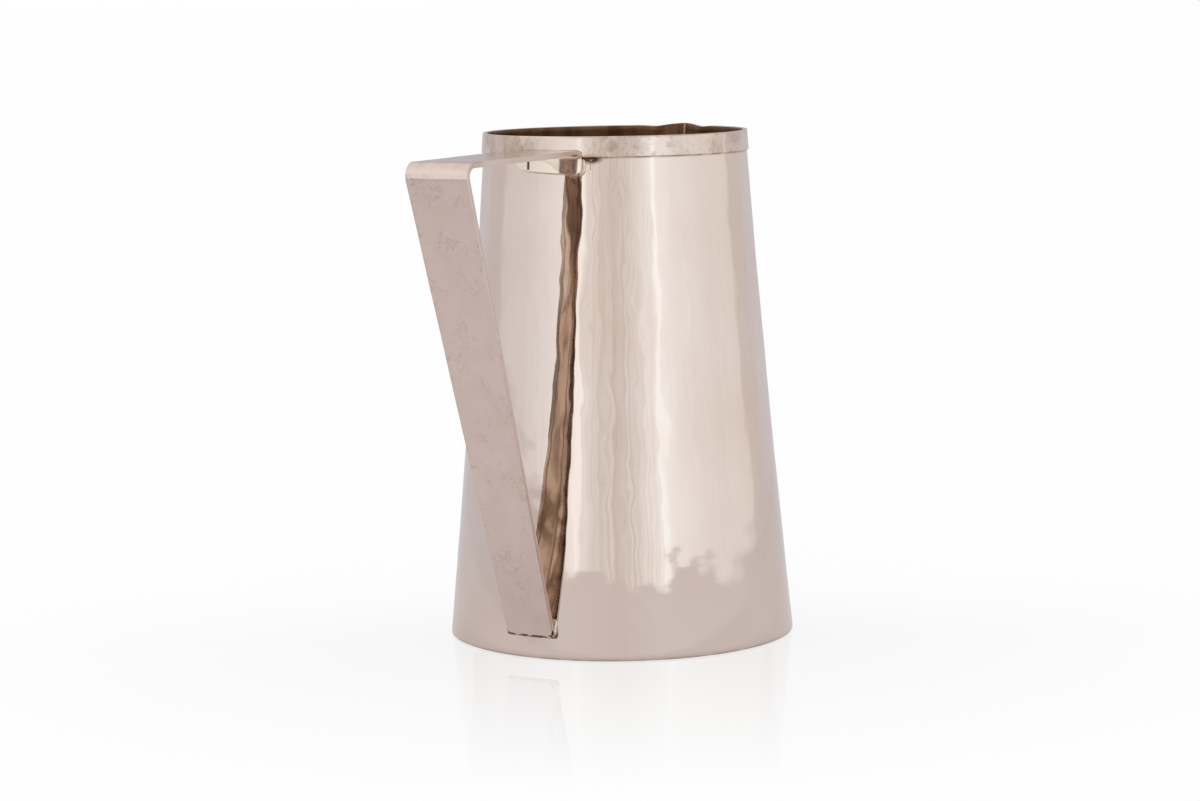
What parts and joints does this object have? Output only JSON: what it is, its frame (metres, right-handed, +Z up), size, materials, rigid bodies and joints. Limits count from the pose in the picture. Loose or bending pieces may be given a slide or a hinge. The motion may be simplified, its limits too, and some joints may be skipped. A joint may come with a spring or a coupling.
{
  "type": "ewer",
  "caption": "Tapered polished silver ewer with an applied rim band, a small formed pouring lip and a flat strap handle folded from rim to base, for holding and pouring water.",
  "frame": {"origin": "centre of the flat underside, on the body axis", "axes": "+Z up along the body axis, handle along -X, pouring lip along +X"},
  "size_m": [0.1956, 0.1374, 0.2009],
  "materials": {
    "body_silver": "polished silver, lightly hammered",
    "band_silver": "polished silver",
    "handle_silver": "hammered silver with a softer polish",
    "solder": "dull silver solder with dark residue"
  },
  "bodies": {
    "root": {"body_wall": "body_silver", "base_plate": "body_silver", "rim_band": "band_silver", "handle_strap": "handle_silver", "upper_handle_solder": "solder", "lower_handle_solder": "solder", "base_solder": "solder"}
  },
  "joints": []
}
